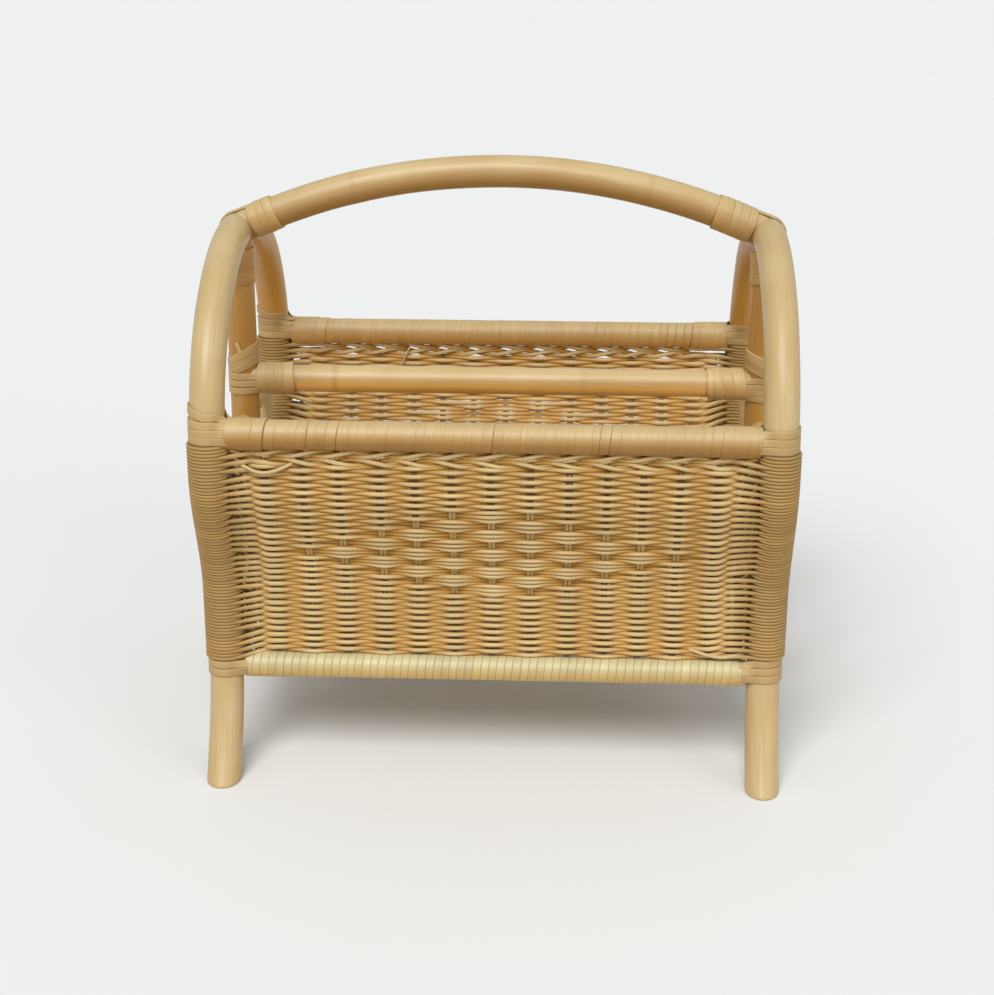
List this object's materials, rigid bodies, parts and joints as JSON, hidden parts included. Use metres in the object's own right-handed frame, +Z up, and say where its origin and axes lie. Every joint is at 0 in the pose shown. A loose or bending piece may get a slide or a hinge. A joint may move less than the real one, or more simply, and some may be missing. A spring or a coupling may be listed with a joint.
{
  "type": "magazine basket",
  "caption": "Open-ended rattan magazine basket on flared feet: woven reed sides between arched hoops, a dividing rail and a bowed carrying handle.",
  "frame": {"origin": "middle of the footprint, on the floor", "axes": "+X along the basket, to the right as seen from the front; +Y from the front to the rear; +Z up"},
  "size_m": [0.4308, 0.3406, 0.442],
  "materials": {
    "rattan_pole": "natural rattan pole, clear satin lacquer",
    "woven_reed": "natural round core reed, closely woven, dull",
    "rattan_peel": "flat rattan peel, glossy skin side out",
    "screw_steel": "plain steel"
  },
  "bodies": {
    "root": {"carrying_handle": "rattan_pole", "center_rail": "rattan_pole", "center_bottom_rail": "rattan_pole", "front_top_rail": "rattan_pole", "front_bottom_rail": "rattan_pole", "rear_top_rail": "rattan_pole", "rear_bottom_rail": "rattan_pole", "left_end_hoop": "rattan_pole", "left_center_post": "rattan_pole", "left_stretcher": "rattan_pole", "right_end_hoop": "rattan_pole", "right_center_post": "rattan_pole", "right_stretcher": "rattan_pole", "left_front_end_brace": "rattan_pole", "left_rear_end_brace": "rattan_pole", "right_front_end_brace": "rattan_pole", "right_rear_end_brace": "rattan_pole", "woven_base": "woven_reed", "front_woven_panel": "woven_reed", "rear_woven_panel": "woven_reed", "front_top_rail_wrap": "rattan_peel", "front_bottom_rail_wrap": "rattan_peel", "rear_top_rail_wrap": "rattan_peel", "rear_bottom_rail_wrap": "rattan_peel", "left_saddle_strap": "rattan_peel", "left_handle_binding": "rattan_peel", "left_post_top_binding": "rattan_peel", "left_center_rail_binding": "rattan_peel", "left_post_lashing": "rattan_peel", "right_saddle_strap": "rattan_peel", "right_handle_binding": "rattan_peel", "right_post_top_binding": "rattan_peel", "right_center_rail_binding": "rattan_peel", "right_post_lashing": "rattan_peel", "left_front_top_lashing": "rattan_peel", "left_front_bottom_lashing": "rattan_peel", "left_rear_top_lashing": "rattan_peel", "left_rear_bottom_lashing": "rattan_peel", "right_front_top_lashing": "rattan_peel", "right_front_bottom_lashing": "rattan_peel", "right_rear_top_lashing": "rattan_peel", "right_rear_bottom_lashing": "rattan_peel", "left_handle_screw": "screw_steel", "left_center_rail_screw": "screw_steel", "right_handle_screw": "screw_steel", "right_center_rail_screw": "screw_steel", "left_front_top_rail_screw": "screw_steel", "left_front_bottom_rail_screw": "screw_steel", "left_rear_top_rail_screw": "screw_steel", "left_rear_bottom_rail_screw": "screw_steel", "right_front_top_rail_screw": "screw_steel", "right_front_bottom_rail_screw": "screw_steel", "right_rear_top_rail_screw": "screw_steel", "right_rear_bottom_rail_screw": "screw_steel"}
  },
  "joints": []
}
